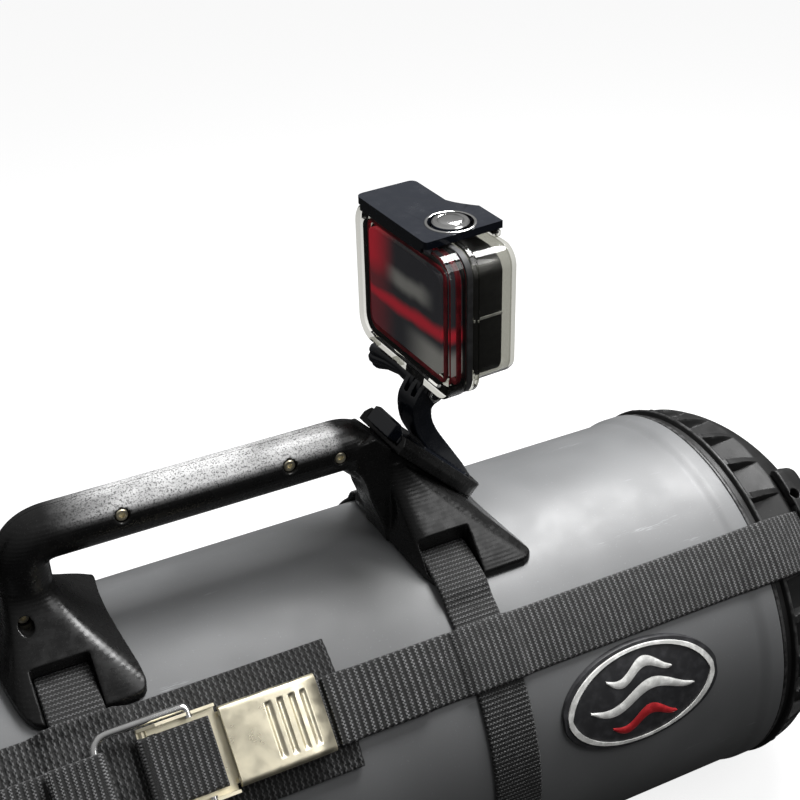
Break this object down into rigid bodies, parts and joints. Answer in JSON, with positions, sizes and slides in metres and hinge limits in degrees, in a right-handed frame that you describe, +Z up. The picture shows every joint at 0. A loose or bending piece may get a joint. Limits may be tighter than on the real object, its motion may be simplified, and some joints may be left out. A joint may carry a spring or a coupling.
{
  "type": "diver propulsion vehicle",
  "caption": "Underwater diver tow vehicle: sealed battery hull, ribbed nose cap, ducted propeller, strapped-on carry handle and a camera in a clear dive housing.",
  "frame": {"origin": "the middle of the flat nose face, on the hull axis", "axes": "+X along the hull towards the nose, +Z up through the carry handle, +Y to the port side"},
  "size_m": [0.651, 0.2052, 0.3665],
  "materials": {
    "hull_grey": "matte grey moulded tube, faintly scuffed",
    "cap_black": "dark moulded plastic with worn rib edges",
    "printed_black": "black printed plastic with fine layer lines",
    "gloss_black": "glossy blue-black moulded plastic",
    "webbing_black": "ribbed nylon webbing",
    "rubber_black": "matte rubber",
    "badge_rubber": "soft raised badge with a plain pale rim",
    "satin_steel": "satin stainless, slightly warm",
    "bright_steel": "polished stainless",
    "aluminium": "machined",
    "iron_grey": "laminated or cast",
    "clear_plastic": "clear polycarbonate, polished",
    "camera_grey": "dark grey camera body",
    "seal_red": "red silicone seal",
    "battery_yellow": "wrapped cell pack",
    "board_green": "coated circuit board",
    "cable_red": "insulated power lead"
  },
  "bodies": {
    "hull": {"hull_tube": "hull_grey", "nose_cap": "cap_black", "nose_seal_ring": "rubber_black", "nose_strap_anchor": "cap_black", "tail_housing": "cap_black", "tail_seal_ring": "rubber_black", "motor_housing": "aluminium", "motor_end_cap": "aluminium", "front_bearing": "bright_steel", "rear_bearing": "bright_steel", "shaft_seal": "rubber_black", "motor_stator": "iron_grey", "shroud": "cap_black", "battery_tray": "aluminium", "battery_pack_rear": "battery_yellow", "battery_pack_front": "battery_yellow", "motor_controller": "board_green", "power_cable": "cable_red", "trim_weight": "iron_grey", "front_hoop_strap": "webbing_black", "rear_hoop_strap": "webbing_black", "buckle_pad": "webbing_black", "long_strap": "webbing_black", "rear_strap": "webbing_black", "buckle_frame": "satin_steel", "lever_pin": "bright_steel", "front_strap_fold": "webbing_black", "hull_badge": "badge_rubber", "handle_near_half": "printed_black", "handle_far_half": "printed_black", "grip_screw_rear": "satin_steel", "grip_screw_middle": "satin_steel", "grip_screw_front": "satin_steel", "post_screw": "satin_steel", "camera_base": "printed_black", "control_grip": "printed_black", "trigger_pin": "bright_steel", "tow_ring_bracket": "cap_black"},
    "propeller": {"motor_rotor": "iron_grey", "drive_shaft": "bright_steel", "propeller": "gloss_black", "propeller_nut": "satin_steel"},
    "trigger": {"trigger": "printed_black"},
    "buckle_lever": {"buckle_lever": "satin_steel"},
    "buckle_bail": {"buckle_bail": "bright_steel", "rear_strap_fold": "webbing_black"},
    "tow_ring": {"tow_ring": "bright_steel"},
    "camera_arm": {"camera_arm": "gloss_black", "pivot_nut": "bright_steel"},
    "thumb_screw": {"thumb_screw": "printed_black"},
    "housing": {"housing_shell": "clear_plastic", "housing_gasket": "rubber_black", "latch_pin": "bright_steel", "door_pin": "bright_steel", "action_camera": "camera_grey", "camera_lens": "gloss_black"},
    "housing_door": {"housing_door": "clear_plastic", "door_seal": "seal_red"},
    "housing_latch": {"housing_latch": "gloss_black"},
    "shutter_button": {"shutter_button": "bright_steel"}
  },
  "joints": [
    {"name": "propeller_spin", "type": "hinge", "parent": "hull", "child": "propeller", "pos_m": [-0.614, 0, 0], "axis": [1, 0, 0], "continuous": true},
    {"name": "trigger_pull", "type": "hinge", "parent": "hull", "child": "trigger", "pos_m": [-0.492, 0, 0.176], "axis": [0, 1, 0], "range_deg": [0, 12]},
    {"name": "buckle_lever_open", "type": "hinge", "parent": "hull", "child": "buckle_lever", "pos_m": [-0.362, -0.08134, 0.07196], "axis": [0, -0.6626, -0.749], "range_deg": [0, 95]},
    {"name": "buckle_bail_swing", "type": "hinge", "parent": "hull", "child": "buckle_bail", "pos_m": [-0.376, -0.08209, 0.07262], "axis": [0, 0.6626, 0.749], "range_deg": [0, 20]},
    {"name": "tow_ring_swing", "type": "hinge", "parent": "hull", "child": "tow_ring", "pos_m": [-0.534, 0, 0.1084], "axis": [0, 1, 0], "range_deg": [-20, 90]},
    {"name": "quick_release_slide", "type": "slide", "parent": "hull", "child": "camera_arm", "axis": [-0.6903, -0.1115, 0.7149], "range_m": [0, 0.06]},
    {"name": "housing_tilt", "type": "hinge", "parent": "camera_arm", "child": "housing", "pos_m": [-0.22032, 0.00054, 0.17162], "axis": [-0.0774, 0.9938, 0.0802], "range_deg": [-60, 75]},
    {"name": "thumb_screw_turn", "type": "hinge", "parent": "camera_arm", "child": "thumb_screw", "pos_m": [-0.22032, 0.00054, 0.17162], "axis": [-0.0774, 0.9938, 0.0802], "continuous": true},
    {"name": "housing_door_open", "type": "hinge", "parent": "housing", "child": "housing_door", "pos_m": [-0.22726, -0.00091, 0.18286], "axis": [0.0774, -0.9938, -0.0802], "range_deg": [0, 80]},
    {"name": "housing_latch_open", "type": "hinge", "parent": "housing", "child": "housing_latch", "pos_m": [-0.19613, -0.00439, 0.25612], "axis": [-0.0774, 0.9938, 0.0802], "range_deg": [0, 75]},
    {"name": "shutter_press", "type": "slide", "parent": "housing", "child": "shutter_button", "axis": [-0.0031, 0.0802, -0.9968], "range_m": [0, 0.0015]}
  ]
}
